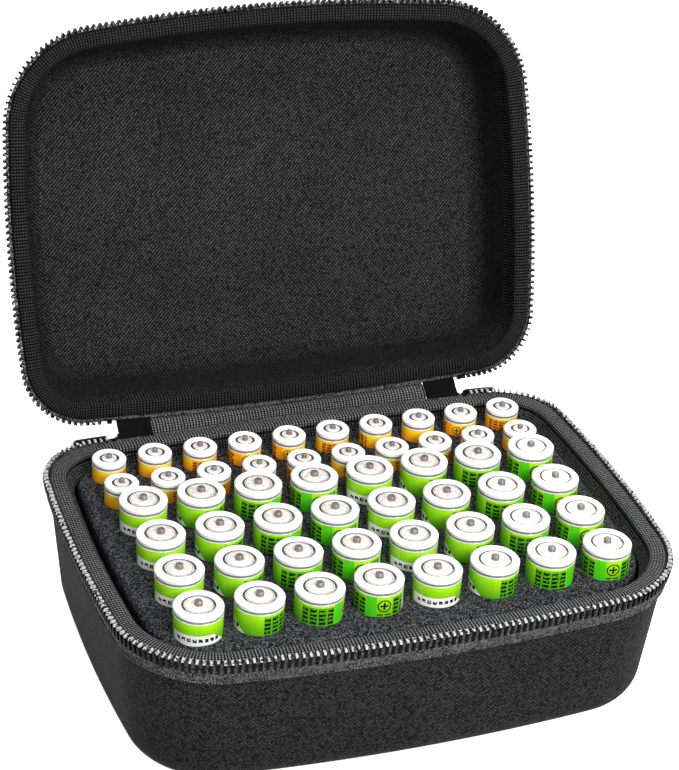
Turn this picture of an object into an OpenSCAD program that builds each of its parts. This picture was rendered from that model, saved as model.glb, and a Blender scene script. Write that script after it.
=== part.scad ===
// Hard zip-up storage case for round battery cells, shown with its lid open.
// The floor of the case is at z = 0, +Y points to the hinge, and all sizes are in millimetres.

/* [Case] */
// Width of the case over the zip, left to right
case_w = 175; // [172:0.5:200]
// Depth of the case over the zip, front to back
case_d = 128; // [126:0.5:150]
// Height of the zip line above the floor of the case
base_h = 48; // [47:0.5:56]
// Depth of the lid, from the zip line to its outer top
lid_h = 23.5; // [20:0.5:32]
// Radius of the two front corners in plan
corner_front_r = 31; // [26:0.5:33]
// Radius of the two corners beside the hinge in plan
corner_back_r = 20.5; // [20:0.5:24]
// How far each side bows outwards between its corners
side_bow = 1.3; // [0.8:0.1:3]
// How far the front bows outwards between its corners
front_bow = 2.8; // [1:0.1:4]
// How far the back bows outwards between its corners
back_bow = 1.6; // [1:0.1:2.4]

/* [Moulded shells] */
// Thickness of the moulded shells
shell_t = 2.5; // [2:0.1:3]
// How far the foot of the base wall is set in from the zip
base_foot_in = 6; // [4:0.5:7]
// How far the top of the lid wall is set in from the zip
lid_foot_in = 8.5; // [6:0.5:10]
// Outer radius round the bottom edge of the base
base_edge_r = 10; // [9:0.5:10]
// Outer radius round the top edge of the lid
lid_edge_r = 9; // [7:0.5:11]

/* [Lining] */
// Thickness of the fabric lining glued inside the shells
lining_t = 0.5; // [0.4:0.1:0.8]
// How far the padded collar under the base rim reaches in
collar_in = 9; // [8:0.1:9.2]
// Height of the padded collar
collar_h = 13; // [8:0.5:16]
// Drop of the collar from its outer to its inner edge
collar_drop = 2.2; // [1:0.1:4]

/* [Zip] */
// Thickness of the zip tape
tape_t = 0.9; // [0.6:0.1:1.2]
// Width of the tape below the teeth's tips
tape_h = 7.2; // [6:0.1:9]
// Bare strip between the zip line and the tape's edge
tape_gap = 0.8; // [0.7:0.1:1.2]
// Spacing of the teeth along one tape
tooth_pitch = 2; // [1.9:0.1:3]
// Width of a tooth along the tape
tooth_w = 0.7; // [0.5:0.05:0.8]
// How far a tooth stands out from the tape
tooth_t = 0.7; // [0.5:0.05:0.9]
// Length of a tooth down the face of the tape
tooth_h = 4.2; // [3:0.1:5]
// How far a tooth reaches past the zip line into the other row
tooth_reach = 0.35; // [0.2:0.05:0.4]
// Where the teeth end beside the hinge, from the middle of the case
tooth_end = 61; // [59:0.5:64]
// Radius of the piped edge along the bottom of the tape
welt_r = 0.4; // [0.3:0.05:0.5]

/* [Binding] */
// Width of the rolled ribbon binding on each rim
binding_w = 5; // [4:0.1:6]
// Height of the rolled binding
binding_h = 2.4; // [1.6:0.1:3]
// Gap between the binding and the zip line
binding_gap = 0.2; // [0.15:0.05:0.4]
// Gap between the binding and the tape
binding_set = 0.55; // [0.55:0.05:0.8]

/* [Hinge] */
// Distance of the hinge line behind the rims
hinge_set = 2; // [1.6:0.1:3]
// Half the length of the fabric hinge
gusset_half = 48; // [40:0.5:50]
// Radius of the fold in the fabric hinge
fold_r = 1.3; // [0.8:0.05:1.4]
// Angle by which the lid stands open
lid_open = 107; // [95:1:150]

/* [Sliders] */
// Length of a slider body along the zip
slider_l = 9.3; // [8:0.1:9.4]
// Height of a slider body
slider_h = 5.6; // [4.5:0.1:6]
// Thickness of a slider body outside the tape
slider_t = 1.3; // [1:0.1:1.4]
// Radius of the wire that a pull hangs on
bail_r = 0.55; // [0.4:0.05:0.65]
// Outer radius of the eye of a pull
eye_r = 1.35; // [1.2:0.05:1.45]
// Length of a pull from its pivot to its tip
pull_l = 15; // [12:0.5:16]
// Width of a pull
pull_w = 4.6; // [3.6:0.1:5]
// Thickness of a pull
pull_t = 1.1; // [0.8:0.1:1.2]

/* [Foam insert] */
// Distance of the foam's side from the zip in plan
foam_in = 10; // [9.8:0.1:10.4]
// Depth of the foam's top below the zip line
foam_drop = 2.8; // [1:0.1:8]
// Radius of the foam's upper edge
foam_edge_r = 2.2; // [1:0.1:3]
// Foam left under the large cells
well_floor = 2; // [2:0.1:3]
// How far the bank of wells sits behind the middle of the case
bank_shift = 1.8; // [1.4:0.1:2.2]
// Clear foam at each side of the bank of wells
bank_side = 6; // [5:0.5:8]

/* [Large cells] */
// Diameter of a large cell over its label
aa_d = 14.5; // [13.8:0.1:14.5]
// Length of a large cell with its contact
aa_l = 50.5; // [49.5:0.1:51]
// Spacing of the large cells along a row
aa_pitch = 18; // [17.4:0.1:18.1]
// Spacing of the rows of large cells
aa_row_pitch = 18.9; // [18:0.1:18.9]

/* [Small cells] */
// Diameter of a small cell over its label
aaa_d = 10.5; // [9.8:0.1:10.5]
// Length of a small cell with its contact
aaa_l = 44.5; // [43.5:0.1:45]
// Spacing of the small cells along a row
aaa_pitch = 14.6; // [13.8:0.1:14.6]
// Spacing of the rows of small cells
aaa_row_pitch = 14.6; // [13.6:0.1:14.6]
// How far the small cells' tops lie below the large cells' tops
aaa_drop = 2.4; // [0:0.1:5]
// Foam between the bank of large wells and the bank of small wells
bank_gap = 1.8; // [1.4:0.1:2]

/* [Cell details] */
// Thickness of the printed sleeve round a cell
sleeve_t = 0.22; // [0.15:0.01:0.3]
// Height of the white insulating ring on a cell's shoulder
ring_h = 1.6; // [1.2:0.1:2]
// Height of the contact above the ring
contact_h = 1.2; // [0.8:0.1:1.6]
// Radius of the contact as a share of the cell's radius
contact_share = 0.16; // [0.14:0.01:0.2]
// Radius of the raised middle of the end plate, in the same way
boss_share = 0.4; // [0.3:0.01:0.45]
// Radius of the ring's opening on a large cell, in the same way
aa_ring_share = 0.68; // [0.6:0.01:0.75]
// Radius of the ring's opening on a small cell, in the same way
aaa_ring_share = 0.58; // [0.56:0.01:0.7]
// Width of the dark groove between the ring and the end plate
groove_w = 0.3; // [0.2:0.05:0.4]

/* [Hidden] */

// Resting gap between glued or sewn layers
fit = 0.05;
// Running gap between pieces that move past each other
play = 0.35;
// Gap round a cell in its well
well_fit = 0.15;
// Segments of small and of large circles
fine = 72;
coarse = 256;
$fn = fine;

hinge_y = case_d / 2 + hinge_set;

// Plan of the rim: eight arcs that run into each other, each as [centre x, centre y, radius, from, to]
front_reach = case_w / 2 - corner_front_r;
back_reach = case_w / 2 - corner_back_r;
front_cx = front_reach - side_bow;
back_cx = back_reach - side_bow;
front_cy = case_d / 2 - corner_front_r - front_bow;
back_cy = case_d / 2 - corner_back_r - back_bow;
front_y = (pow(front_cx, 2) + pow(front_cy, 2) - pow(front_cy + front_bow, 2)) / (2 * front_bow);
back_y = (pow(back_cx, 2) + pow(back_cy, 2) - pow(back_cy + back_bow, 2)) / (2 * back_bow);
side_y = (2 * side_bow * (front_reach - back_reach) / (front_cy + back_cy) + back_cy - front_cy) / 2;
side_x = (pow(front_cy + side_y, 2) - side_bow * (2 * front_reach - side_bow)) / (2 * side_bow);
side_r = case_w / 2 + side_x;
front_r = case_d / 2 + front_y;
back_r = case_d / 2 + back_y;
side_low = atan2(-front_cy - side_y, front_cx + side_x);
side_high = atan2(back_cy - side_y, back_cx + side_x);
front_turn = atan2(-front_cy - front_y, front_cx);
back_turn = atan2(back_cy + back_y, back_cx);
BACK_ARC = [0, -back_y, back_r, back_turn, 180 - back_turn];
ARCS = [
  [-side_x, side_y, side_r, side_low, side_high],
  [back_cx, back_cy, corner_back_r, side_high, back_turn],
  BACK_ARC,
  [-back_cx, back_cy, corner_back_r, 180 - back_turn, 180 - side_high],
  [side_x, side_y, side_r, 180 - side_high, 180 - side_low],
  [-front_cx, -front_cy, corner_front_r, 180 - side_low, 180 - front_turn],
  [0, front_y, front_r, 180 - front_turn, 360 + front_turn],
  [front_cx, -front_cy, corner_front_r, front_turn, side_low]
];
// The same arcs without the stretch beside the hinge, where the zip has no teeth
end_turn = acos(tooth_end / back_r);
TOOTH_ARCS = [
  for (i = [0:len(ARCS) - 1]) if (i != 2) ARCS[i],
  [0, -back_y, back_r, back_turn, end_turn],
  [0, -back_y, back_r, 180 - end_turn, 180 - back_turn]
];

// How far in from the rim the swept sections reach, and where the flat panels inside them end
core_in = corner_back_r - 1.5;
panel_in = core_in - 1.5;
// Largest radius that counts as a small circle
small_r = 100;
// The long arcs run this far into the corners, and are drawn this much thinner all round,
// so that their faces never lie in one another and the eight pieces join into one
seam_run = 0.5;
seam_step = 0.03;
lining_step = 0.04;

// Height at which the shells and linings stop under the binding
shell_top = -binding_gap - binding_h;
lining_top = shell_top - fit;

// Bank of wells, centred in the foam
floor_z = shell_t + lining_t + 2 * fit;
foam_top_z = base_h - foam_drop;
aa_rows = 4;
aaa_rows = 2;
aa_bank_d = (aa_rows - 1) * aa_row_pitch + aa_d;
aaa_bank_d = (aaa_rows - 1) * aaa_row_pitch + aaa_d;
bank_d = aa_bank_d + bank_gap + aaa_bank_d;
bank_front = bank_shift - bank_d / 2;
aa_front_y = bank_front + aa_d / 2;
aaa_front_y = bank_front + bank_d - aaa_bank_d + aaa_d / 2;
usable_w = case_w - 2 * (foam_in + bank_side);
aa_cols = floor((usable_w - aa_d) / aa_pitch) + 1;
aaa_cols = floor((usable_w - aaa_d) / aaa_pitch) + 1;
aa_z = floor_z + well_floor;
aaa_z = aa_z + aa_l - aaa_drop - aaa_l;

// Slider and pull, on the back of the base beside the hinge
slider_turn = asin((gusset_half + 1.5 + slider_l / 2) / back_r);
slider_z = base_h - 0.5 - slider_h / 2;
bail_end = slider_l / 2 - 1.8;
bail_out = slider_t + play + eye_r;
eye_h = 1.7;
post_z = eye_h / 2 + play + bail_r;
// The bail's bar is this much thicker than its posts, and a pull's blade than its shank
bail_more = 0.03;

// Offset of a pan's outer wall from the rim at height z below it
function wall_x(z, depth, foot_in) = -tape_t + (foot_in - tape_t) * z / depth;
// The same for the outer face of the zip tape
function tape_x(z, depth, foot_in) = wall_x(z, depth, foot_in) + tape_t;

// Carries a section round the rim: section x is the offset outwards and section y the height.
// The section is drawn $thin smaller on every side along the long arcs
module sweep(arcs = ARCS, step = seam_step) {
  for (a = arcs) {
    long = a[2] > small_r;
    $thin = long ? step : 0;
    run = long ? seam_run / a[2] * 180 / PI : 0;
    translate([a[0], a[1], 0])
      rotate([0, 0, a[3] - run])
        rotate_extrude(angle = a[4] - a[3] + 2 * run, $fn = long ? coarse : fine)
          translate([a[2], 0])
            children();
  }
}

// Flat panel that closes the middle of a swept ring, from height low to height high
module panel(low, high, step = seam_step) {
  translate([0, 0, low + step / 2])
    linear_extrude(high - low - step)
      polygon([
        for (a = ARCS, share = [0.2, 0.5, 0.8])
          [a[0], a[1]] + (a[2] - panel_in) * [
            cos(a[3] + share * (a[4] - a[3])),
            sin(a[3] + share * (a[4] - a[3]))
          ]
      ]);
}

// Half section of a filled pan: a leaning wall, a round edge of radius r and a flat floor
module pan_section(core, top_x, top_z, foot_x, foot_z, r) {
  lean = atan2(top_x - foot_x, top_z - foot_z);
  run = r * tan((90 - lean) / 2);
  polygon([
    [-core, foot_z],
    [foot_x - run, foot_z],
    [foot_x + run * sin(lean), foot_z + run * cos(lean)],
    [top_x, top_z],
    [-core, top_z]
  ]);
  translate([foot_x - run, foot_z])
    intersection() {
      translate([0, r]) circle(r);
      square([2 * r, run * cos(lean)]);
    }
}

// The pan's section drawn in by the same amount on wall and floor
module pan_at(core, inset, top_z, depth, foot_in, edge_r) {
  pan_section(
    core,
    wall_x(top_z, depth, foot_in) - inset, top_z,
    wall_x(inset - depth, depth, foot_in) - inset, inset - depth,
    edge_r - inset
  );
}

// A skin between two insets of the pan, with its floor
module pan_skin(outer, inner, top_z, depth, foot_in, edge_r, step = seam_step, padded = false) {
  sweep(step = step)
    difference() {
      pan_at(core_in - $thin, outer + $thin, top_z - $thin, depth, foot_in, edge_r);
      difference() {
        pan_at(core_in + 1, inner - $thin, top_z + 1, depth, foot_in, edge_r);
        if (padded) collar_section();
      }
    }
  panel(outer - depth, inner - depth, step);
}

// Places a pan that hangs from the zip line at z = 0 as the base
module on_base() {
  translate([0, 0, base_h]) children();
}

// Places the same kind of pan as the open lid, turned back about the hinge line
module on_lid() {
  translate([0, hinge_y, base_h])
    rotate([-lid_open, 0, 0])
      translate([0, -hinge_y, 0])
        mirror([0, 0, 1])
          children();
}

module shell(depth, foot_in, edge_r) {
  pan_skin(0, shell_t, shell_top, depth, foot_in, edge_r);
}

module lining(depth, foot_in, edge_r, padded = false) {
  outer = shell_t + fit;
  pan_skin(outer, outer + lining_t, lining_top, depth, foot_in, edge_r, lining_step, padded);
}

// Padded collar that slopes from the binding down into the base
module collar_section() {
  top = lining_top - $thin;
  reach = collar_in - $thin;
  polygon([
    [tape_t, top + 2],
    [-tape_t - binding_set - binding_w, top + 2],
    [-tape_t - binding_set - binding_w, top],
    [-reach + collar_drop / 2, top - collar_drop],
    [-reach, top - 1.5 * collar_drop],
    [-reach, top - 2 * collar_drop],
    [-tape_t - shell_t, top - collar_h],
    [tape_t, top - collar_h]
  ]);
}

module binding() {
  r = binding_h / 2;
  flat = binding_w - 2 * r;
  sweep()
    translate([-tape_t - binding_set - r, -binding_gap - r]) {
      circle(r - $thin);
      translate([-flat, 0]) circle(r - $thin);
      translate([-flat, $thin - r]) square([flat, 2 * (r - $thin)]);
    }
}

module zip_tape(depth, foot_in) {
  top = -tape_gap;
  low = -tape_h;
  sweep() {
    polygon([
      [wall_x(top, depth, foot_in) + fit + $thin, top - $thin],
      [tape_x(top, depth, foot_in) - $thin, top - $thin],
      [tape_x(low, depth, foot_in) - $thin, low + $thin],
      [wall_x(low, depth, foot_in) + fit + $thin, low + $thin]
    ]);
    translate([tape_x(low, depth, foot_in) - welt_r / 2, low]) circle(welt_r - $thin);
  }
}

// One tooth: a clip of width w that stands on the tape's face and hooks over its edge
module tooth(w, tip, depth, foot_in) {
  inner = -tape_t - fit;
  rotate([90, 0, 0])
    linear_extrude(w, center = true)
      polygon([
        [tape_x(-tooth_h, depth, foot_in) + fit, -tooth_h],
        [tape_x(-tooth_h, depth, foot_in) + tooth_t, -tooth_h + tooth_t / 2],
        [tooth_t, -tape_gap],
        [tooth_t / 2, tip],
        [inner, tip],
        [inner, -tape_gap + fit],
        [tape_x(-tape_gap, depth, foot_in) + fit, -tape_gap + fit]
      ]);
}

// Teeth along every arc, moved along by a share of the pitch
module tooth_row(shift, depth, foot_in) {
  for (a = TOOTH_ARCS) {
    count = round(a[2] * (a[4] - a[3]) * PI / 180 / tooth_pitch);
    for (i = [0:count - 1])
      translate([a[0], a[1], 0])
        rotate([0, 0, a[3] + (a[4] - a[3]) * (i + shift) / count])
          translate([a[2], 0, 0])
            tooth(tooth_w, tooth_reach, depth, foot_in);
  }
}

// Two metal end stops, one where each row of teeth ends
module stops(depth, foot_in) {
  stop_w = 1.4;
  stop_turn = acos((tooth_end - stop_w) / back_r);
  for (turn = [stop_turn, 180 - stop_turn])
    translate([0, -back_y, 0])
      rotate([0, 0, turn])
        translate([back_r, 0, 0])
          tooth(stop_w, -play, depth, foot_in);
}

// Foam block with rounded upper edge, cut by a round well for each cell
module foam_insert() {
  edge_in = foam_in + foam_edge_r;
  edge_z = -foam_drop - foam_edge_r;
  color("dimgray")
    difference() {
      union() {
        on_base()
          sweep()
            intersection() {
              pan_at(core_in - $thin, floor_z + $thin, 0, base_h, base_foot_in, base_edge_r);
              union() {
                polygon([
                  [-core_in, -base_h],
                  [-foam_in - $thin, -base_h],
                  [-foam_in - $thin, edge_z],
                  [-edge_in, -foam_drop - $thin],
                  [-core_in, -foam_drop - $thin]
                ]);
                translate([-edge_in, edge_z]) circle(foam_edge_r - $thin);
              }
            }
        panel(floor_z, foam_top_z);
      }
      for (row = [1:aa_rows])
        at_aa(row) cylinder(h = aa_l, r = aa_d / 2 + well_fit);
      for (row = [1:aaa_rows])
        at_aaa(row) cylinder(h = aaa_l, r = aaa_d / 2 + well_fit);
    }
}

// Places of one row of large cells, counted from the front
module at_aa(row) {
  for (i = [0:aa_cols - 1])
    translate([(i - (aa_cols - 1) / 2) * aa_pitch, aa_front_y + (row - 1) * aa_row_pitch, aa_z])
      children();
}

// Places of one row of small cells, counted from the front
module at_aaa(row) {
  for (i = [0:aaa_cols - 1])
    translate([(i - (aaa_cols - 1) / 2) * aaa_pitch, aaa_front_y + (row - 1) * aaa_row_pitch, aaa_z])
      children();
}

// Steel can with its stepped end plate and contact, all one sealed piece
module cell_can(d, l, ring_share) {
  can_r = d / 2 - sleeve_t - fit;
  shoulder = l - contact_h;
  plate_r = d / 2 * ring_share - groove_w;
  plate_z = shoulder - 0.35;
  boss_r = d / 2 * boss_share;
  contact_r = d / 2 * contact_share;
  rotate_extrude()
    polygon([
      [0, 0],
      [can_r - 0.5, 0],
      [can_r, 0.5],
      [can_r, shoulder - ring_h],
      [can_r - 0.6, shoulder - ring_h + 0.5],
      [can_r - 0.6, shoulder - 0.7],
      [plate_r, shoulder - 0.7],
      [plate_r, plate_z - 0.1],
      [plate_r - 0.1, plate_z],
      [boss_r + 0.2, plate_z],
      [boss_r, plate_z + 0.2],
      [contact_r, plate_z + 0.2],
      [contact_r, l - 0.3],
      [contact_r - 0.3, l],
      [0, l]
    ]);
}

// Printed sleeve shrunk round the can
module cell_sleeve(d, l) {
  difference() {
    cylinder(h = l - contact_h - ring_h - 0.6, r = d / 2);
    translate([0, 0, -1]) cylinder(h = l, r = d / 2 - sleeve_t);
  }
}

// White insulating ring pressed over the can's shoulder
module cell_ring(d, l, ring_share) {
  r = d / 2;
  shoulder = l - contact_h;
  neck_r = r - sleeve_t - 0.6;
  hole_r = r * ring_share;
  rotate_extrude()
    polygon([
      [neck_r + fit, shoulder - ring_h + 0.6],
      [r, shoulder - ring_h + 0.2],
      [r, shoulder - 0.5],
      [r - 0.5, shoulder],
      [hole_r + 0.3, shoulder],
      [hole_r, shoulder - 0.3],
      [hole_r, shoulder - 0.6],
      [neck_r + fit, shoulder - 0.6]
    ]);
}

// Fabric hinge: a band on the back of the base tape that ends in a fold on the hinge line
module hinge_gusset() {
  turn = asin(gusset_half / back_r);
  high = -tape_gap;
  low = -tape_h + 2 * welt_r;
  color("black") {
    on_base()
      sweep([[0, -back_y, back_r, 90 - turn, 90 + turn]])
        polygon([
          [tape_x(high, base_h, base_foot_in) + fit, high / 2],
          [hinge_set, 0],
          [hinge_set, -fold_r / 2],
          [tape_x(2 * high, base_h, base_foot_in) + tape_t, 3 * high],
          [tape_x(low, base_h, base_foot_in) + tape_t, low],
          [tape_x(low, base_h, base_foot_in) + fit, low],
          [tape_x(high, base_h, base_foot_in) + fit, high]
        ]);
    translate([-gusset_half, hinge_y, base_h])
      rotate([0, 90, 0])
        cylinder(h = 2 * gusset_half, r = fold_r);
  }
}

// Stands a child on the back of the base where the right slider sits:
// x points outwards, y to the middle of the case and z up
module at_slider() {
  translate([0, -back_y, slider_z])
    rotate([0, 0, 90 - slider_turn])
      translate([back_r, 0, 0])
        children();
}

// Slider body with the wire bail that its pull hangs on
module slider() {
  color("dimgray")
    at_slider() {
      translate([2 * fit, 0, 0])
        rotate([90, 0, 90])
          linear_extrude(slider_t - 2 * fit)
            rounded_plate(slider_l, slider_h, 1.2);
      for (side = [-1, 1])
        translate([slider_t / 2, -bail_end, side * post_z])
          rotate([0, 90, 0])
            cylinder(h = bail_out - slider_t / 2, r = bail_r);
      translate([bail_out, -bail_end, -post_z - bail_r])
        cylinder(h = 2 * (post_z + bail_r), r = bail_r + bail_more);
    }
}

// Flat metal pull with an eye round the bail and a hole near its tip
module pull() {
  shank = 3.2;
  blade = pull_l - shank;
  color("dimgray")
    at_slider()
      translate([bail_out, -bail_end, 0])
        difference() {
          union() {
            translate([0, 0, -eye_h / 2]) cylinder(h = eye_h, r = eye_r);
            translate([-pull_t / 2, -shank - 1, -eye_h / 2]) cube([pull_t, shank + 1, eye_h]);
            translate([-pull_t / 2 - bail_more, -shank - blade / 2, 0])
              rotate([90, 0, 90])
                linear_extrude(pull_t + 2 * bail_more)
                  difference() {
                    rounded_plate(blade, pull_w, 1.6);
                    translate([2.2 - blade / 2, 0]) circle(1.1);
                  }
          }
          translate([0, 0, -eye_h]) cylinder(h = 2 * eye_h, r = bail_r + 3 * bail_more);
        }
}

// Rectangle with round corners, centred
module rounded_plate(l, h, r) {
  square([l - 2 * r, h], center = true);
  square([l, h - 2 * r], center = true);
  for (x = [-1, 1], y = [-1, 1])
    translate([x * (l / 2 - r), y * (h / 2 - r)]) circle(r);
}

module base_shell() {
  color([0.2, 0.2, 0.21]) on_base() shell(base_h, base_foot_in, base_edge_r);
}

module base_lining() {
  color([0.14, 0.14, 0.15])
    on_base()
      lining(base_h, base_foot_in, base_edge_r, padded = true);
}

module base_binding() {
  color([0.3, 0.3, 0.31]) on_base() binding();
}

module base_zip_tape() {
  color([0.22, 0.22, 0.23]) on_base() zip_tape(base_h, base_foot_in);
}

module base_zip_teeth() {
  color("silver") on_base() tooth_row(0.5, base_h, base_foot_in);
}

module base_zip_stops() {
  color("silver") on_base() stops(base_h, base_foot_in);
}

module lid_shell() {
  color([0.2, 0.2, 0.21]) on_lid() shell(lid_h, lid_foot_in, lid_edge_r);
}

module lid_lining() {
  color([0.14, 0.14, 0.15]) on_lid() lining(lid_h, lid_foot_in, lid_edge_r);
}

module lid_binding() {
  color([0.3, 0.3, 0.31]) on_lid() binding();
}

module lid_zip_tape() {
  color([0.22, 0.22, 0.23]) on_lid() zip_tape(lid_h, lid_foot_in);
}

module lid_zip_teeth() {
  color("silver") on_lid() tooth_row(1, lid_h, lid_foot_in);
}

module lid_zip_stops() {
  color("silver") on_lid() stops(lid_h, lid_foot_in);
}

module aa_cells(row) {
  color("whitesmoke") at_aa(row) cell_can(aa_d, aa_l, aa_ring_share);
}

module aa_labels(row) {
  color("yellowgreen") at_aa(row) cell_sleeve(aa_d, aa_l);
}

module aa_rings(row) {
  color("white") at_aa(row) cell_ring(aa_d, aa_l, aa_ring_share);
}

module aaa_cells(row) {
  color("whitesmoke") at_aaa(row) cell_can(aaa_d, aaa_l, aaa_ring_share);
}

module aaa_labels(row) {
  color("orange") at_aaa(row) cell_sleeve(aaa_d, aaa_l);
}

module aaa_rings(row) {
  color("white") at_aaa(row) cell_ring(aaa_d, aaa_l, aaa_ring_share);
}

base_shell();
base_lining();
base_binding();
base_zip_tape();
base_zip_teeth();
base_zip_stops();
foam_insert();
hinge_gusset();
lid_shell();
lid_lining();
lid_binding();
lid_zip_tape();
lid_zip_teeth();
lid_zip_stops();
mirror([1, 0, 0]) slider();  // slider_left
slider();  // slider_right
mirror([1, 0, 0]) pull();  // pull_left
pull();  // pull_right
aa_cells(1);  // aa_cells_1
aa_cells(2);  // aa_cells_2
aa_cells(3);  // aa_cells_3
aa_cells(4);  // aa_cells_4
aa_labels(1);  // aa_labels_1
aa_labels(2);  // aa_labels_2
aa_labels(3);  // aa_labels_3
aa_labels(4);  // aa_labels_4
aa_rings(1);  // aa_rings_1
aa_rings(2);  // aa_rings_2
aa_rings(3);  // aa_rings_3
aa_rings(4);  // aa_rings_4
aaa_cells(1);  // aaa_cells_1
aaa_cells(2);  // aaa_cells_2
aaa_labels(1);  // aaa_labels_1
aaa_labels(2);  // aaa_labels_2
aaa_rings(1);  // aaa_rings_1
aaa_rings(2);  // aaa_rings_2
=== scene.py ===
import bpy
import bmesh
import math
import numpy as np
from mathutils import Matrix, Vector


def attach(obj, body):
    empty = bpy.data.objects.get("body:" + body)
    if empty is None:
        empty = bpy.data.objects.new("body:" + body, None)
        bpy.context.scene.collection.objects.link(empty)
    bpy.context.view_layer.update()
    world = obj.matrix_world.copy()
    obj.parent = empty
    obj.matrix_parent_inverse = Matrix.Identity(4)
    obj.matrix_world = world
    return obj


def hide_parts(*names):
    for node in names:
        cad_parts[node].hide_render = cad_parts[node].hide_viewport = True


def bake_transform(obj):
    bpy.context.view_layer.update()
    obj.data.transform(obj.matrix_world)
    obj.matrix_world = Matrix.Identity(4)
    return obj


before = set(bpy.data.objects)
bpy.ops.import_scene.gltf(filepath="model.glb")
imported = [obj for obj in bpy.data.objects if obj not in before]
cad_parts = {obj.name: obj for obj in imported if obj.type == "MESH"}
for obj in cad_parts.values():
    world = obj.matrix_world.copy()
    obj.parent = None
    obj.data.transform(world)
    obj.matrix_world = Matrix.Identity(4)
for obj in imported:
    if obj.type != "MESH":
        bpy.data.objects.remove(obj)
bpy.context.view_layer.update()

# Camera: a long lens without shift, from the front left and above.
# Its place and turn were fitted to the rims, the foot and the tops of the cells.
FRAME_W, FRAME_H = 679, 770
FOCAL_PX = 2471.07
cam_data = bpy.data.cameras.new("camera")
cam_data.sensor_width = 36
cam_data.lens = 36 * FOCAL_PX / max(FRAME_W, FRAME_H)
cam_data.clip_start, cam_data.clip_end = 0.05, 10
camera = bpy.data.objects.new("camera", cam_data)
right = Vector((0.940097, -0.335905, 0.058183))
down = Vector((-0.118848, -0.482894, -0.867576))
ahead = Vector((0.319519, 0.808691, -0.493889))
turn = Matrix((right, -down, -ahead)).transposed().to_4x4()
camera.matrix_world = Matrix.Translation((-0.239073, -0.581252, 0.450110)) @ turn
scene = bpy.context.scene
scene.collection.objects.link(camera)
scene.camera = camera
scene.view_settings.view_transform = "Standard"
scene.view_settings.look = "None"

# Moulded shells of the base and the lid: fine black polyester cloth bonded to a foam board, and the two
# pressed together in a hot mould. The cloth is drawn tight, so it has no folds and its weave is flat.
# Every rim piece that follows is a section carried round the same eight arcs, in millimetres.
CASE_W, CASE_D, BASE_H, LID_H = 175.0, 128.0, 48.0, 23.5
FRONT_R, BACK_R, SIDE_BOW, FRONT_BOW, BACK_BOW = 31.0, 20.5, 1.3, 2.8, 1.6
HINGE_Y, LID_OPEN = CASE_D / 2 + 2.0, math.radians(107.0)
SHELL_T, SHELL_TOP = 2.5, -2.6
CORE_IN = 19.0


def rim_arcs():
    """Centre, radius and angles of each arc: the long ones touch both corners they join, by Pythagoras."""
    gf, gb = CASE_W / 2 - FRONT_R, CASE_W / 2 - BACK_R
    af, ab = gf - SIDE_BOW, gb - SIDE_BOW
    bf, bb = CASE_D / 2 - FRONT_R - FRONT_BOW, CASE_D / 2 - BACK_R - BACK_BOW
    yf = (af**2 + bf**2 - (bf + FRONT_BOW) ** 2) / (2 * FRONT_BOW)
    yb = (ab**2 + bb**2 - (bb + BACK_BOW) ** 2) / (2 * BACK_BOW)
    ys = (2 * SIDE_BOW * (gf - gb) / (bf + bb) + bb - bf) / 2
    xs = ((bf + ys) ** 2 - SIDE_BOW * (2 * gf - SIDE_BOW)) / (2 * SIDE_BOW)
    rs, rf, rb = CASE_W / 2 + xs, CASE_D / 2 + yf, CASE_D / 2 + yb
    s1, s2 = math.atan2(-bf - ys, af + xs), math.atan2(bb - ys, ab + xs)
    f1, k1 = math.atan2(-bf - yf, af), math.atan2(bb + yb, ab)
    pi = math.pi
    return [
        (-xs, ys, rs, s1, s2), (ab, bb, BACK_R, s2, k1), (0, -yb, rb, k1, pi - k1),
        (-ab, bb, BACK_R, pi - k1, pi - s2), (xs, ys, rs, pi - s2, pi - s1),
        (-af, -bf, FRONT_R, pi - s1, pi - f1), (0, yf, rf, pi - f1, 2 * pi + f1),
        (af, -bf, FRONT_R, f1, s1),
    ]


def rim(step):
    """Points, outward normals and running length round the rim, about one every step millimetres."""
    pts, nrm = [], []
    for cx, cy, r, a0, a1 in rim_arcs():
        n = max(2, round(r * (a1 - a0) / step))
        a = a0 + (a1 - a0) * np.arange(n) / n
        d = np.stack([np.cos(a), np.sin(a)], 1)
        pts.append(np.array([cx, cy]) + r * d)
        nrm.append(d)
    pts, nrm = np.concatenate(pts), np.concatenate(nrm)
    gaps = np.linalg.norm(np.roll(pts, -1, 0) - pts, axis=1)
    return pts, nrm, np.concatenate([[0], np.cumsum(gaps)])


def in_base(v):
    """Places points that hang from the zip line at z = 0 into the base."""
    return v + np.array([0, 0, BASE_H])


def in_lid(v):
    """Places them into the open lid: mirrored in the zip line, then turned back about the hinge line."""
    y, z = v[..., 1] - HINGE_Y, -v[..., 2]
    c, s = math.cos(LID_OPEN), -math.sin(LID_OPEN)
    return np.stack([v[..., 0], HINGE_Y + y * c - z * s, BASE_H + y * s + z * c], -1)


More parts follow.
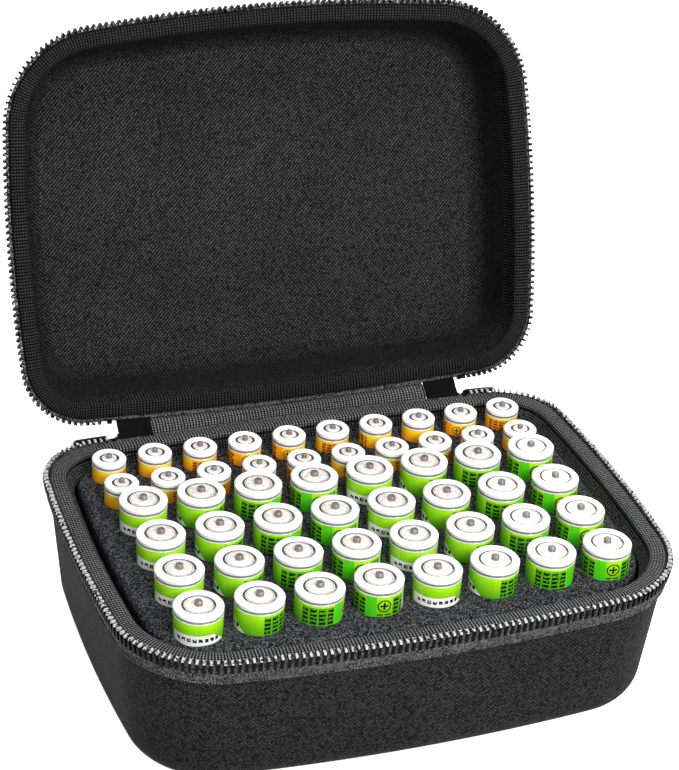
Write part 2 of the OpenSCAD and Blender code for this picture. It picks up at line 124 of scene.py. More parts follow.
def mesh_object(name, verts, faces, uv, mat, sharp=40):
    """A smooth object from points in mm, quads and a UV pair per corner, turned so its volume is positive."""
    me = bpy.data.meshes.new(name)
    tri = verts[faces[:, [0, 1, 2]]], verts[faces[:, [0, 2, 3]]]
    volume = sum(np.einsum("ij,ij->", t[:, 0], np.cross(t[:, 1], t[:, 2])) for t in tri)
    if volume < 0:
        faces, uv = faces[:, ::-1], uv[:, ::-1]
    me.from_pydata((verts * 0.001).tolist(), [], faces.tolist())
    me.uv_layers.new(name="mm").data.foreach_set("uv", np.ascontiguousarray(uv, float).ravel())
    bm = bmesh.new()
    bm.from_mesh(me)
    bmesh.ops.remove_doubles(bm, verts=bm.verts, dist=1e-7)
    bm.to_mesh(me)
    bm.free()
    me.polygons.foreach_set("use_smooth", np.ones(len(me.polygons), bool))
    me.set_sharp_from_angle(angle=math.radians(sharp))
    me.materials.append(mat)
    ob = bpy.data.objects.new(name, me)
    scene.collection.objects.link(ob)
    return ob


def sweep(name, section, place, mat, step=1.5, sharp=40):
    """Carries a closed section round the rim: each point is (offset outwards, height, share of the way out).
    The UV map runs along the rim and across the section. On the flat middle it is the plan itself, moved
    past every depth below the rim, so that no band along the rim is drawn there."""
    pts, nrm, length = rim(step)
    sec = np.asarray(section, float)
    if sec.shape[1] == 2:
        sec = np.column_stack([sec, np.ones(len(sec))])
    off, high, out = sec.T
    n, m = len(pts), len(sec)
    xy = (pts[:, None] + nrm[:, None] * off[None, :, None]) * out[None, :, None]
    verts = place(np.concatenate([xy, np.broadcast_to(high[None, :, None], (n, m, 1))], 2)).reshape(-1, 3)
    i, j = (g.ravel() for g in np.meshgrid(np.arange(n), np.arange(m), indexing="ij"))
    i2, j2 = (i + 1) % n, (j + 1) % m
    faces = np.stack([i * m + j, i2 * m + j, i2 * m + j2, i * m + j2], -1)
    run = np.hypot(np.diff(off, append=off[0]), np.diff(high, append=high[0]))
    across = np.concatenate([[0], np.cumsum(run)])
    u0, u1, v0, v1 = length[i], length[i + 1], across[j], across[j + 1]
    uv = np.stack([u0, v0, u1, v0, u1, v1, u0, v1], -1).reshape(-1, 4, 2)
    middle = (high[j] == high[j2]) & (np.minimum(off[j], off[j2]) <= -CORE_IN)
    uv[middle] = xy.reshape(-1, 2)[faces[middle]] + [0, 2 * CASE_D]
    return mesh_object(name, verts, faces, uv, mat, sharp)


def wall_x(z, depth, foot_in):
    """Offset of a pan's outer wall at height z below the zip line: it leans in evenly down to the foot."""
    return -0.9 + (foot_in - 0.9) * z / depth


def pan_curve(inset, top_z, depth, foot_in, edge_r):
    """From the wall's top down round the edge to the floor: the edge arc touches both wall and floor."""
    foot_z = inset - depth
    top_x, foot_x = wall_x(top_z, depth, foot_in) - inset, wall_x(foot_z, depth, foot_in) - inset
    r = edge_r - inset
    lean = math.atan2(top_x - foot_x, top_z - foot_z)
    run = r * math.tan((math.pi / 2 - lean) / 2)
    a = np.linspace(0, math.pi / 2 - lean, 12)[::-1]
    edge = np.stack([foot_x - run + r * np.sin(a), foot_z + r - r * np.cos(a)], 1)
    wall = np.linspace([top_x, top_z], edge[0], 9)[:-1]
    return np.concatenate([wall, edge])


def with_floor(curve):
    """Adds the flat floor to a pan's curve: out to the core's offset, then in to the middle."""
    floor = np.column_stack([np.full(12, -CORE_IN), np.full(12, curve[-1, 1]), np.linspace(1, 0, 12)])
    return np.concatenate([np.column_stack([curve, np.ones(len(curve))]), floor])


def linear(code):
    """An sRGB colour as linear light: c / 12.92 up to 0.04045, above it ((c + 0.055) / 1.055) ^ 2.4."""
    c = np.array([int(code[i:i + 2], 16) / 255 for i in (0, 2, 4)])
    return (*np.where(c <= 0.04045, c / 12.92, ((c + 0.055) / 1.055) ** 2.4), 1.0)


def node(tree, kind, *inputs, named=None, **settings):
    """Adds a shader node and returns its first output in use. The kind may hold an operation after a space.
    The inputs in use are filled in order, others by name, with a number, a link or an sRGB hex colour."""
    kind, _, operation = kind.partition(" ")
    n = tree.nodes.new("ShaderNode" + kind)
    if operation:
        n.operation = operation
    for key, value in settings.items():
        setattr(n, key, value)
    filled = [*zip((s for s in n.inputs if s.enabled), inputs),
              *((n.inputs[key], value) for key, value in (named or {}).items())]
    for socket, value in filled:
        if isinstance(value, bpy.types.NodeSocket):
            tree.links.new(value, socket)
        else:
            socket.default_value = linear(value) if isinstance(value, str) else value
    return next(s for s in n.outputs if s.enabled)


def start_material(name):
    """A new material, its tree, and the place in the shared frame in millimetres as one vector."""
    mat = bpy.data.materials.new(name)
    mat.use_nodes = True
    t = mat.node_tree
    place = node(t, "TexCoord").node.outputs["Object"]
    return mat, t, node(t, "VectorMath SCALE", place, 1000.0)


def finish_material(mat, colour, height=None, depth=0.0, **numbers):
    """Gives the main shader its colour, a bump of height that is depth millimetres high, and its numbers."""
    t = mat.node_tree
    shader = t.nodes["Principled BSDF"]
    t.links.new(colour, shader.inputs["Base Color"])
    if height is not None:
        bump = node(t, "Bump", named={"Height": height, "Distance": depth * 0.001})
        t.links.new(bump, shader.inputs["Normal"])
    for key, value in numbers.items():
        shader.inputs[key.replace("_", " ")].default_value = value


def wave(t, x, period):
    """A sine of x, from -1 to 1."""
    return node(t, "Math SINE", node(t, "Math MULTIPLY", x, 2 * math.pi / period))


def woven_cloth(name, dark, light, weave, thread, depth, spark, near_rim=None):
    """Matt polyester: weave(along, across) is the threads' height from 0 to 1. Each crossing, one thread
    apart, catches the light by its own chance, so the light colour's share is height times
    (1 - spark + spark * chance). near_rim is (width, weave, tone) of a band along the rim that has another
    weave, and the tone of the wall below it: painted shade, which reaches full tone from 16 to 26 mm down.
    The band's tone is the ribbon's own above 1 and painted shade below 1."""
    mat, t, place_mm = start_material(name)
    cloth_mm = node(t, "UVMap", uv_map="mm")
    along, across, _ = node(t, "SeparateXYZ", cloth_mm).node.outputs
    height = weave(t, along, across)
    tone = 1.0
    if near_rim:
        band_w, band_weave, band_tone_and_shade, wall_shade = near_rim
        on_band = node(t, "Math LESS_THAN", across, band_w)
        height = node(t, "Mix", on_band, height, band_weave(t, along, across))
        # The wall's tone below 1 is painted shade that lifts from 16 to 26 mm down; a band tone below 1 is
        # painted shade too.
        wall = node(t, "MapRange", across, 16.0, 26.0, wall_shade, 1.0)
        tone = node(t, "Mix", on_band, wall, band_tone_and_shade)
    crossing = node(t, "VectorMath FLOOR", node(t, "VectorMath SCALE", cloth_mm, 1 / thread))
    chance = node(t, "TexWhiteNoise", crossing, noise_dimensions="2D")
    glint = node(t, "Math MULTIPLY_ADD", chance, spark, 1 - spark)
    clouds = node(t, "Math MULTIPLY_ADD", node(t, "TexNoise", place_mm, 0.04), 0.7, 0.65)
    share = height
    for factor in (glint, clouds, tone):
        share = node(t, "Math MULTIPLY", share, factor)
    finish_material(mat, node(t, "Mix", share, dark, light, data_type="RGBA"), height, depth,
                    Roughness=0.75, Specular_IOR_Level=0.04, Sheen_Weight=0.01, Sheen_Roughness=0.4)
    return mat


def plain_weave(t, along, across):
    """Threads over and under each other: the product of one wave along and one across."""
    crossing = node(t, "Math MULTIPLY", wave(t, along, 1.2), wave(t, across, 1.2))
    return node(t, "Math MULTIPLY_ADD", crossing, 0.5, 0.5)


# Plain-woven polyester: to the eye a flat black with a fine, even grain. Real threads are too fine to show
# at the size of the picture, so they are drawn 0.6 mm apart.
polyester = woven_cloth("polyester_plain_weave", "020202", "404041", plain_weave, 0.6, 0.08, 0.95)
PANS = (("base", in_base, BASE_H, 6.0, 10.0), ("lid", in_lid, LID_H, 8.5, 9.0))
for part, place, depth, foot_in, edge_r in PANS:
    outer = with_floor(pan_curve(0, SHELL_TOP, depth, foot_in, edge_r))
    inner = with_floor(pan_curve(SHELL_T, SHELL_TOP, depth, foot_in, edge_r))
    shell = sweep(part + "_shell_cloth", np.concatenate([outer, inner[::-1]]), place, polyester)
    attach(shell, part)
    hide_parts(part + "_shell")

# Linings: black polyester twill glued inside the shells, with a band of ribbed ribbon along the rim.
# The base lining is padded: under the rim it swells into a collar of foam that the twill covers.
LINING_T, LINING_GAP = 0.5, 0.05
COLLAR = [(-6.45, -2.65), (-7.9, -4.85), (-9.0, -5.95), (-9.0, -7.05), (-3.4, -15.65)]


def round_off(points, times=2):
    """Softens corners: each pass puts points a quarter of the way along each side in their place."""
    p = np.asarray(points, float)
    for _ in range(times):
        a, b = p[:-1], p[1:]
        pairs = np.stack([a * 0.75 + b * 0.25, a * 0.25 + b * 0.75], 1).reshape(-1, p.shape[1])
        p = np.concatenate([p[:1], pairs, p[-1:]])
    return p


def twill(t, along, across):
    """Diagonal ribs 0.9 mm apart, one wave along the sum of the two ways, cut by a finer one across them."""
    rib = node(t, "Math MULTIPLY_ADD", wave(t, node(t, "Math ADD", along, across), 1.25), 0.5, 0.5)
    cut = node(t, "Math MULTIPLY_ADD", wave(t, node(t, "Math SUBTRACT", along, across), 0.9), 0.35, 0.65)
    return node(t, "Math MULTIPLY", rib, cut)


def ribbed(t, along, across):
    """Ribs 1 mm apart across a ribbon, cut into dashes 0.85 mm apart: sizes of sines of twice the period."""
    rib = node(t, "Math ABSOLUTE", wave(t, along, 2.0))
    dash = node(t, "Math ABSOLUTE", wave(t, across, 1.7))
    rib = node(t, "Math MULTIPLY_ADD", rib, 1.6, -0.6, use_clamp=True)
    dash = node(t, "Math MULTIPLY_ADD", dash, 1.3, -0.1, use_clamp=True)
    return node(t, "Math MULTIPLY", rib, dash)


# Polyester twill: fine diagonal lines that sparkle a little where a thread lies on top, drawn coarser than
# real ones so that they show. As in the photo, the collar's ribbon is lighter than the twill. In the lid the
# ribbon and the wall below it are painted darker: painted shade.
for part, place, depth, foot_in, edge_r in PANS:
    near_rim = (15.0, ribbed, 1.6, 1.0) if part == "base" else (6.5, ribbed, 0.5, 0.35)
    polyester_twill = woven_cloth(part + "_polyester_twill", "020202", "5a5a5b", twill, 0.4, 0.10, 0.95, near_rim)
    back = with_floor(pan_curve(SHELL_T + LINING_GAP, SHELL_TOP - LINING_GAP, depth, foot_in, edge_r))
    face = pan_curve(SHELL_T + LINING_GAP + LINING_T, SHELL_TOP - LINING_GAP, depth, foot_in, edge_r)
    if part == "base":
        face = np.concatenate([round_off(COLLAR, 3), face[face[:, 1] < COLLAR[-1][1] - 2]])
    lining = sweep(part + "_lining_cloth", np.concatenate([with_floor(face), back[::-1]]), place, polyester_twill)
    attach(lining, part)
    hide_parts(part + "_lining")

# Bindings: ribbed polyester ribbon, folded over the raw edges of shell and lining and sewn through.
# Its section is a flattened round, wider than it is high.
BIND_W, BIND_H, BIND_OUT, BIND_TOP = 5.0, 2.4, -1.45, -0.2
a = np.linspace(0, 2 * math.pi, 33)[:-1]
c, s = np.cos(a), np.sin(a)
roll = np.stack([BIND_OUT - BIND_W / 2 + BIND_W / 2 * np.sign(c) * np.abs(c) ** 0.55,
                 BIND_TOP - BIND_H / 2 + BIND_H / 2 * np.sign(s) * np.abs(s) ** 0.8], 1)
# Grosgrain ribbon: light catches on the round of every rib, so it looks lighter than the cloths beside it.
# The photo shows the lid's ribbon darker, so that one has a darker light colour: painted shade on the same
# ribbon.
ribbon = {part: woven_cloth(part + "_grosgrain_ribbon", "020202", light, ribbed, 0.5, 0.20, 0.5)
          for part, light in (("base", "868687"), ("lid", "3a3a3b"))}
for part, place, *_ in PANS:
    binding = sweep(part + "_binding_ribbon", roll, place, ribbon[part])
    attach(binding, part)
    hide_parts(part + "_binding")

# Zip tapes: coarse woven polyester tape sewn round each rim, with a piped lower edge.
# The piping is a cord of 0.4 mm radius that the tape is folded over.
TAPE_T, TAPE_TOP, TAPE_LOW, WELT_R = 0.9, -0.8, -7.2, 0.4


def herringbone(t, along, across):
    """Slanted threads 0.8 mm apart that change side every 1.6 mm: the slant is the sign of a wave."""
    side = node(t, "Math SIGN", wave(t, across, 3.2))
    slant = node(t, "Math MULTIPLY_ADD", across, side, along)
    return node(t, "Math MULTIPLY_ADD", wave(t, slant, 0.8), 0.5, 0.5)


# Woven polyester tape: the coarsest cloth here, grainy and greyer. Its herringbone is drawn coarser than a
# real one, so that it shows.
zip_tape = woven_cloth("polyester_zip_tape", "020202", "888889", herringbone, 0.45, 0.12, 1.0)
for part, place, depth, foot_in, _ in PANS:
    top_x, low_x, bend_x = (wall_x(z, depth, foot_in) + TAPE_T for z in (TAPE_TOP, TAPE_LOW, TAPE_LOW + 1))
    a = np.linspace(0.45 * math.pi, -0.9 * math.pi, 14)
    welt = np.stack([low_x - WELT_R / 2 + WELT_R * np.cos(a), TAPE_LOW + WELT_R * np.sin(a)], 1)
    flat = np.linspace([top_x, TAPE_TOP], [bend_x, TAPE_LOW + 1], 6)
    back = [(low_x - TAPE_T + 0.05, TAPE_LOW + 0.1), (top_x - TAPE_T + 0.05, TAPE_TOP)]
    tape = sweep(part + "_zip_tape_cloth", np.concatenate([flat, welt, back]), place, zip_tape)
    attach(tape, part)
    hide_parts(part + "_zip_tape")


# Zip teeth and end stops: metal with a black coat, clamped on the tape's edge one by one.
# Their shapes are the CAD model's; only the finish is added here.
def paint(mat, *names):
    """Gives a material to CAD nodes, in place of the one they came with."""
    for name in names:
        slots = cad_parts[name].data.materials
        slots.clear()
        slots.append(mat)


def inside(t, *limits):
    """1 where every (value, low, high) has its value between low and high, else 0: a product of steps."""
    mask = 1.0
    for value, low, high in limits:
        for step, edge in (("GREATER_THAN", low), ("LESS_THAN", high)):
            if edge is not None:
                mask = node(t, "Math MULTIPLY", mask, node(t, "Math " + step, value, edge))
    return mask


# The black coat is painted bright on the heads, one painted glint on each tooth, and a little on the feet:
# painted highlights, weaker in the lid. The depth below the zip line tells head from foot, and a noise leaves
# some heads without a glint.
for part, up, glint, glint_cut in (("base", (0, 0, 1), 0.6, 0.3),
                              ("lid", (0, -math.sin(LID_OPEN), -math.cos(LID_OPEN)), 0.35, 0.54)):
    coated_metal, t, place_mm = start_material(part + "_black_coated_metal")
    from_line = node(t, "VectorMath SUBTRACT", place_mm, (0, HINGE_Y, BASE_H))
    depth = node(t, "VectorMath DOT_PRODUCT", from_line, up)
    # Painted highlights: a little on the feet, and a glint on each head.
    foot = node(t, "Math MULTIPLY", inside(t, (depth, -4.4, -3.6)), 0.2)
    painted_glint = node(t, "Math MULTIPLY_ADD", inside(t, (depth, -0.3, None)), glint, foot)
    glint_spots = node(t, "MapRange", node(t, "TexNoise", place_mm, 1.2, 0.0), glint_cut, glint_cut + 1 / 6, 0.0, 1.0)
    share = node(t, "Math MULTIPLY", painted_glint, glint_spots)
    finish_material(coated_metal, node(t, "Mix", share, "030303", "e8e8e8", data_type="RGBA"),
                    Roughness=0.45, Specular_IOR_Level=0.05)
    paint(coated_metal, part + "_zip_teeth", part + "_zip_stops")

# Sliders and pulls: metal with black enamel, at the end of the teeth on each side of the hinge. They don't
# show in the photo, so the finish is the usual one: smooth, softly shining, and scuffed where a noise is high.
enamel, t, place_mm = start_material("black_enamel")
scuff = node(t, "TexNoise", place_mm, 1.5, 3.0)
scuffed = node(t, "Mix", inside(t, (scuff, 0.66, None)), "050506", "3c3c40", data_type="RGBA")
finish_material(enamel, scuffed, scuff, 0.05, Roughness=0.3, Specular_IOR_Level=0.4)
paint(enamel, "slider_left", "slider_right", "pull_left", "pull_right")

# Cloth hinge: a strip of the same ribbed ribbon sewn to both tapes, with a plain end of tape beside it on
# each side. It is drawn folded on the hinge line, one half in the base and the other in the open lid.
STRIP_X, END_X, SEAM_GAP = 46.5, 57.5, 0.04
STRIP_LINE = [(-0.15, -6.7, 1), (0.35, -3.0, 1), (0.55, -1.0, 1), (0.9, 0.2, 0.6)]
END_LINE = [(-0.5, -1.6, 1), (-0.35, -0.7, 1)]


def hinge_cloth(name, x0, x1, low_line, fold_r, thick, mat):
    """A bent band from x0 to x1: low_line climbs from the base to the fold, which lies fold_r from the hinge
    line on the plane halfway between base and lid. Line points are (out, height, share of the bow). One half
    is drawn on the base, and the other is the same half carried into the lid."""
    x = np.linspace(x0, x1, max(2, round((x1 - x0) / 1.5)))
    back = rim_arcs()[2]
    bow = back[1] + np.sqrt(back[2] ** 2 - x**2) - CASE_D / 2
    half = math.pi - LID_OPEN / 2
    fold = (HINGE_Y - CASE_D / 2 + fold_r * math.cos(half), fold_r * math.sin(half), 0)
    low = round_off([*low_line, fold], 2)
    y = CASE_D / 2 + low[:, 0][None] + bow[:, None] * low[:, 2][None]
    low = np.stack([np.broadcast_to(x[:, None], y.shape), y, np.broadcast_to(low[:, 1][None], y.shape)], 2)
    line = np.concatenate([in_base(low), in_lid(low)[:, ::-1][:, 1:]], 1)
    along = np.gradient(line, axis=1)
    side = np.stack([np.zeros_like(along[..., 0]), -along[..., 2], along[..., 1]], 2)
    side *= thick / 2 / np.linalg.norm(side, axis=2, keepdims=True)
    ring = np.concatenate([line + side, (line - side)[:, ::-1]], 1)
    n, m = ring.shape[:2]
    i, j = (g.ravel() for g in np.meshgrid(np.arange(n - 1), np.arange(m), indexing="ij"))
    j2 = (j + 1) % m
    quads = [np.stack([i * m + j, (i + 1) * m + j, (i + 1) * m + j2, i * m + j2], -1)]
    k = np.arange(m // 2 - 1)
    for e, flip in ((0, 1), ((n - 1) * m, -1)):
        quads.append(np.stack([e + k, e + k + 1, e + m - 2 - k, e + m - 1 - k], 1)[:, ::flip])
    quads = np.concatenate(quads)
    verts = ring.reshape(-1, 3)
    run = np.concatenate([[0], np.cumsum(np.linalg.norm(np.diff(ring[0], axis=0), axis=1))])
    uv = np.stack([verts[quads][..., 0], run[quads % m]], -1)
    band = mesh_object(name, verts, quads, uv, mat)
    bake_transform(band)
    return band


strip = hinge_cloth("hinge_strip", -STRIP_X, STRIP_X, STRIP_LINE, 0.9, 0.7, ribbon["base"])
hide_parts("hinge_gusset")
# Plain polyester tape: the ends are smooth and closely woven, and almost flat black in the photo.
plain_tape = woven_cloth("polyester_plain_tape", "020203", "0c0c0d", plain_weave, 0.5, 0.05, 0.6)
for side_name, x0, x1 in (("left", -END_X, -STRIP_X - SEAM_GAP), ("right", STRIP_X + SEAM_GAP, END_X)):
    hinge_cloth("hinge_end_" + side_name, x0, x1, END_LINE, 1.15, 0.5, plain_tape)

# Foam insert: a block of dense dark grey foam cut with round wells, standing in the lining.
# A cut opens the foam's cells, so its face is a matt grain in which some walls catch the light.
cut_foam, t, place_mm = start_material("cut_foam")
# The grains are drawn about 0.3 mm wide, coarse enough to show. Each has its own chance of a light face.
grain = node(t, "TexNoise", place_mm, 1.6, 6.0)
facets = node(t, "TexVoronoi", place_mm, 3.2).node.outputs
chance = node(t, "SeparateXYZ", facets["Color"])
pores = node(t, "Math MULTIPLY_ADD", grain, 0.5, -0.24)
share = node(t, "Math MULTIPLY_ADD", node(t, "Math POWER", chance, 3.0), 1.1, pores)
height = node(t, "Math MULTIPLY_ADD", facets["Distance"], 0.5, grain)
finish_material(cut_foam, node(t, "Mix", share, "050506", "626266", data_type="RGBA"), height, 0.4,
                Roughness=0.85, Specular_IOR_Level=0.05)
paint(cut_foam, "foam_insert")

# Cells: nickel-plated steel cans that stand in the wells, each with a white plastic ring round its shoulder
# and a raised contact in the middle of its top. Their shapes are the CAD model's.
ring_plastic, t, place_mm = start_material("white_ring_plastic")
# Moulded plastic: smooth, and so evenly white that only the light shades it.
ring_white = node(t, "Mix", node(t, "TexNoise", place_mm, 0.6), "f0f0ee", "ffffff", data_type="RGBA")
finish_material(ring_plastic, ring_white, Roughness=0.25)
CELL_GRIDS = (("aa", 4, 18.0, 18.9, -40.0, 1.16, 4.93), ("aaa", 2, 14.6, 14.6, 31.0, 0.84, 3.05))
# Nickel plate mirrors the white room: a painted reflection in soft patches laid out by a noise. Round it the
# groove of the seal is painted dark as shade, darker on its far side; on it a pressed crease and a small vent
# hole are painted dark as shade, and the contact is painted darker as the reflection it shows. All are rings
# about the nearest axis, which comes from wrapping the place to one step of the grid.
for kind, rows, pitch, row_pitch, row_y, contact_r, ring_in in CELL_GRIDS:
    nickel, t, place_mm = start_material(kind + "_nickel_plate")
    half_step = (pitch / 2, row_pitch / 2, 1)
    flat = node(t, "VectorMath MULTIPLY_ADD", place_mm, (1, 1, 0), (-pitch / 2, -row_y, 0))
    to_axis = node(t, "VectorMath WRAP", flat, half_step, tuple(-h for h in half_step))
    far = node(t, "VectorMath LENGTH", to_axis)
    away_y = node(t, "SeparateXYZ", to_axis).node.outputs["Y"]
    # This noise lays out the painted reflection of the white room.
    reflection_noise = node(t, "TexNoise", place_mm, 0.9, 3.0)
    bright = node(t, "MapRange", reflection_noise, 0.35, 0.35 + 1 / 3, 0.0, 1.0)
    plate = node(t, "Mix", bright, "dcd2c6", "ffffff", data_type="RGBA")
    # Painted shade: the groove is darker on its far side, and the crease and the vent hole are dark.
    shade = node(t, "Math MULTIPLY_ADD", inside(t, (away_y, -1.5, None)), 0.3, 0.65)
    groove_shade = node(t, "Math MULTIPLY", inside(t, (far, ring_in - 0.75, None)), shade)
    crease_r = ring_in * 0.78
    crease_shade = inside(t, (far, crease_r - 0.12, crease_r + 0.12))
    vent_shade = inside(t, (node(t, "VectorMath DISTANCE", to_axis, (0, contact_r * 2.2, 0)), None, 0.22))
    dark = node(t, "Math MULTIPLY_ADD", vent_shade, 0.6, node(t, "Math MULTIPLY_ADD", crease_shade, reflection_noise, groove_shade))
    top = node(t, "Mix", dark, plate, "2e2c2c", data_type="RGBA")
    # The contact is painted darker, as the reflection it shows.
    contact_reflection = node(t, "Math MULTIPLY", inside(t, (far, None, contact_r + 0.1)), 0.85)
    finish_material(nickel, node(t, "Mix", contact_reflection, top, "46352a", data_type="RGBA"),
                    Roughness=0.35, Metallic=0.3)
    for row in range(1, rows + 1):
        paint(nickel, f"{kind}_cells_{row}")
        paint(ring_plastic, f"{kind}_rings_{row}")


# Sleeves: printed plastic film shrunk over each can, so its top edge curls in over the shoulder. It is glossy,
# with a light field that deepens downwards, dashes, a ringed plus and a pale band. The UV map holds the share
# of the way round and the depth below the top edge in millimetres.
def beat(t, x, period, low, high):
    """1 inside the stretch from low to high of each period, given as shares of it; else 0."""
    return inside(t, (node(t, "Math FRACT", node(t, "Math MULTIPLY", x, 1 / period)), low, high))


def printed_film(name, radius, bright, deep, strip_tone, ink, pale):
    """The print, unrolled: dashes, strip, ringed plus, dashes, then the plain field with the pale band."""
    mat, t, _ = start_material(name)
    turn, down, _ = node(t, "SeparateXYZ", node(t, "UVMap", uv_map="mm")).node.outputs
    k, girth = radius / 7.25, 2 * math.pi * radius
    arc = node(t, "Math MULTIPLY", turn, girth)
    flat_mm = node(t, "CombineXYZ", arc, down)
    clouds = node(t, "Math MULTIPLY_ADD", node(t, "TexNoise", flat_mm, 0.12), 0.4, -0.2)
    fade = node(t, "Math MULTIPLY_ADD", down, 1 / (8.0 * k), clouds)
    colour = node(t, "Mix", fade, bright, deep, data_type="RGBA")
    strip = node(t, "Math MULTIPLY", inside(t, (turn, 0.28, 0.35)), 0.8)
    colour = node(t, "Mix", strip, colour, strip_tone, data_type="RGBA")
    blocks = node(t, "Math ADD", inside(t, (turn, 0.065, 0.275), (down, 1.0 * k, None)),
                  inside(t, (turn, 0.455, 0.54), (down, 1.0 * k, None)))
    colour = node(t, "Mix", node(t, "Math MULTIPLY", blocks, 0.75), colour, deep, data_type="RGBA")
    mark_x, mark_y = 0.40 * girth, 3.4 * k
    low_block = inside(t, (arc, mark_x - 2.0 * k, mark_x + 2.0 * k), (down, 6.1 * k, None))
    ragged = inside(t, (node(t, "TexNoise", flat_mm, 1.1), 0.38, None))
    dashes = node(t, "Math ADD", blocks, low_block)
    for cut in (beat(t, arc, 2.6 * k, 0.1, 0.86), beat(t, down, 1.35 * k, 0.16, 0.86), ragged):
        dashes = node(t, "Math MULTIPLY", dashes, cut)
    far = node(t, "VectorMath DISTANCE", flat_mm, (mark_x, mark_y, 0))
    upright = inside(t, (arc, mark_x - 0.3 * k, mark_x + 0.3 * k), (far, None, 1.25 * k))
    level = inside(t, (down, mark_y - 0.3 * k, mark_y + 0.3 * k), (far, None, 1.25 * k))
    marks = [dashes, inside(t, (far, 1.65 * k, 2.05 * k)), upright, level]
    if pale:
        slope = node(t, "Math MAXIMUM", node(t, "Math SUBTRACT", turn, 0.85), 0.0)
        below = node(t, "Math GREATER_THAN", down, node(t, "Math MULTIPLY_ADD", slope, 36.0, 3.9))
        band = node(t, "Math MULTIPLY", inside(t, (turn, 0.56, None)), below)
        colour = node(t, "Mix", band, colour, pale, data_type="RGBA")
        line = inside(t, (down, 4.9, 6.1), (turn, 0.6, 0.9))
        for cut in (beat(t, arc, 1.7, 0.12, 0.8), ragged):
            line = node(t, "Math MULTIPLY", line, cut)
        marks.append(line)
    printed = 0.0
    for mark in marks:
        printed = node(t, "Math ADD", printed, mark, use_clamp=True)
    colour = node(t, "Mix", printed, colour, ink, data_type="RGBA")
    # The top 0.3 mm, where the film curls over the shoulder, is light grey: painted shade.
    colour = node(t, "Mix", inside(t, (down, None, 0.3)), colour, "bcbeba", data_type="RGBA")
    finish_material(mat, colour, Roughness=0.2, Coat_Weight=0.4)
    return mat


green = printed_film("green_shrink_film", 7.25, "a8ea1c", "3f9c0c", "2fc814", "0e2406", "f4f4f0")
orange = printed_film("orange_shrink_film", 5.25, "ffd91c", "f08c10", "ff9a12", "6a3406", None)
# The share of the way round at which a cell faces the camera. Each row lists which share of the print is there.
SEEN_FROM = 0.688
CONTACT_H, RING_H, SLEEVE_GAP, AROUND = 1.2, 1.6, 0.6, 48
SLEEVES = (
    ("aa", green, "green_label", 14.5, 50.5, 8, 18.0, 5.1, (-40.0, -21.1, -2.2, 16.7),
     ((0.73, 0.02, 0.17, 0.355) * 2,) * 4),
    ("aaa", orange, "orange_label", 10.5, 44.5, 10, 14.6, 8.7, (31.0, 45.6),
     ((0.75, 0.0, 0.14, 0.8, 0.35, 0.1, 0.02, 0.3, 0.75, 0.9),
      (0.0, 0.7, 0.12, 0.37, 0.40, 0.16, 0.62, 0.78, 0.43, 0.2))),
)
for kind, film, slot, d, long, cols, pitch, z, row_places, turned in SLEEVES:
    r, high = d / 2, long - CONTACT_H - RING_H - SLEEVE_GAP
    sec = np.array([(r, 0), (r, high - 14), (r, high - 0.4), (r - 0.05, high - 0.1), (r - 0.2, high),
                    (r - 0.22, high - 0.3), (r - 0.22, 0)])
    m = len(sec)
    angle = 2 * math.pi * np.arange(AROUND) / AROUND
    i, j = (g.ravel() for g in np.meshgrid(np.arange(AROUND), np.arange(m), indexing="ij"))
    i2, j2 = (i + 1) % AROUND, (j + 1) % m
    quads = np.stack([i * m + j, i2 * m + j, i2 * m + j2, i * m + j2], -1)
    for row, y in enumerate(row_places):
        verts, faces, uvs = [], [], []
        for col in range(cols):
            x = (col - (cols - 1) / 2) * pitch
            tube = [x + np.outer(np.cos(angle), sec[:, 0]), y + np.outer(np.sin(angle), sec[:, 0]),
                    np.broadcast_to(z + sec[:, 1][None], (AROUND, m))]
            verts.append(np.stack(tube, 2).reshape(-1, 3))
            faces.append(quads + col * AROUND * m)
            u0 = (i / AROUND + turned[row][col] - SEEN_FROM) % 1.0
            u1, v0, v1 = u0 + 1 / AROUND, high - sec[j, 1], high - sec[j2, 1]
            uvs.append(np.stack([u0, v0, u1, v0, u1, v1, u0, v1], -1).reshape(-1, 4, 2))
        sleeve = mesh_object(f"{kind}_sleeve_{row + 1}", np.concatenate(verts), np.concatenate(faces),
                             np.concatenate(uvs), film, 60)
        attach(sleeve, "base")
        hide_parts(f"{kind}_labels_{row + 1}")

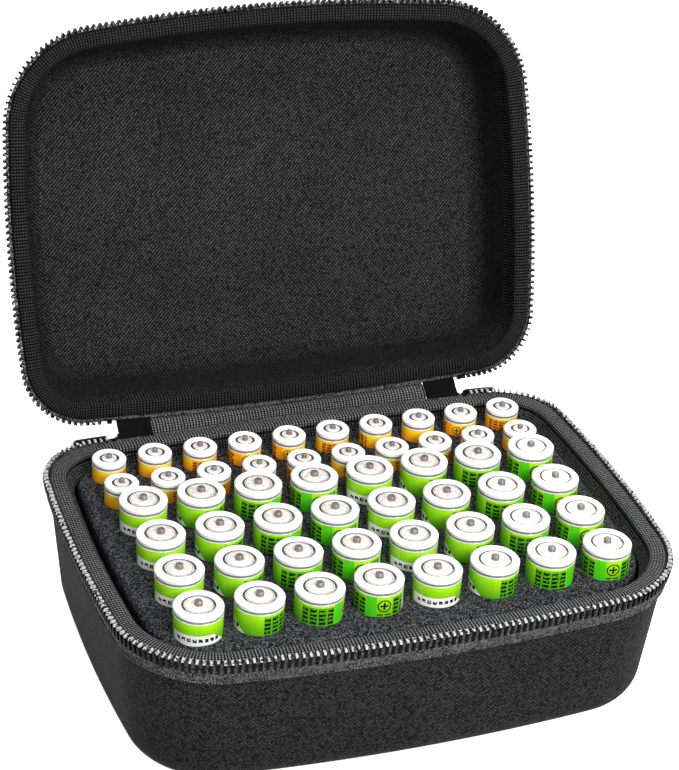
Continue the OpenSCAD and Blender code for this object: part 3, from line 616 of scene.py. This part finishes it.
# Floor: a plain white table top, on which the case's shadow stays faint.
# It glows for the camera and for reflections only, so it adds no light to the case.
table, t, _ = start_material("white_table")
shader, path = t.nodes["Principled BSDF"], node(t, "LightPath").node.outputs
seen = node(t, "Math MAXIMUM", path["Is Camera Ray"], path["Is Glossy Ray"])
t.links.new(node(t, "Math MULTIPLY", seen, 0.9), shader.inputs["Emission Strength"])
for key, value in (("Emission Color", linear("ffffff")), ("Base Color", linear("e8e8e8")),
                   ("Roughness", 0.9), ("Specular IOR Level", 0.1)):
    shader.inputs[key].default_value = value
FLOOR_R, FLOOR_Z = 4, -0.0003
corners = [(x * FLOOR_R, y * FLOOR_R, FLOOR_Z) for x, y in ((-1, -1), (1, -1), (1, 1), (-1, 1))]
top = bpy.data.meshes.new("floor")
top.from_pydata(corners, [], [(0, 1, 2, 3)])
top.materials.append(table)
floor = bpy.data.objects.new("floor", top)
scene.collection.objects.link(floor)


# Light: a white surround seen by the camera and in gloss, dimmer for everything else.
# Four soft lamps stand in front on the right, on the left, above and behind.
def lamp(name, place, size, watts):
    """A square soft lamp that faces the case."""
    data = bpy.data.lights.new(name, "AREA")
    data.size, data.energy = size, watts
    ob = bpy.data.objects.new(name, data)
    ob.location = place
    ob.rotation_mode = "QUATERNION"
    ob.rotation_quaternion = (Vector((0, 0, 0.06)) - Vector(place)).to_track_quat("-Z", "Y")
    scene.collection.objects.link(ob)


lamp("key", (0.18, -0.75, 0.70), 0.35, 12)
lamp("fill", (-0.7, -0.4, 0.5), 0.5, 1)
lamp("top", (0.0, -0.1, 0.95), 0.45, 5.5)
lamp("back", (0.3, 0.9, 0.45), 0.5, 4)
world = bpy.data.worlds.new("surround")
world.use_nodes = True
scene.world = world
t = world.node_tree
path = node(t, "LightPath").node.outputs
seen = node(t, "Math MAXIMUM", path["Is Camera Ray"], path["Is Glossy Ray"])
soft, white = (node(t, "Background", "ffffff", strength) for strength in (0.2, 1.0))
t.links.new(node(t, "MixShader", seen, soft, white), t.nodes["World Output"].inputs["Surface"])
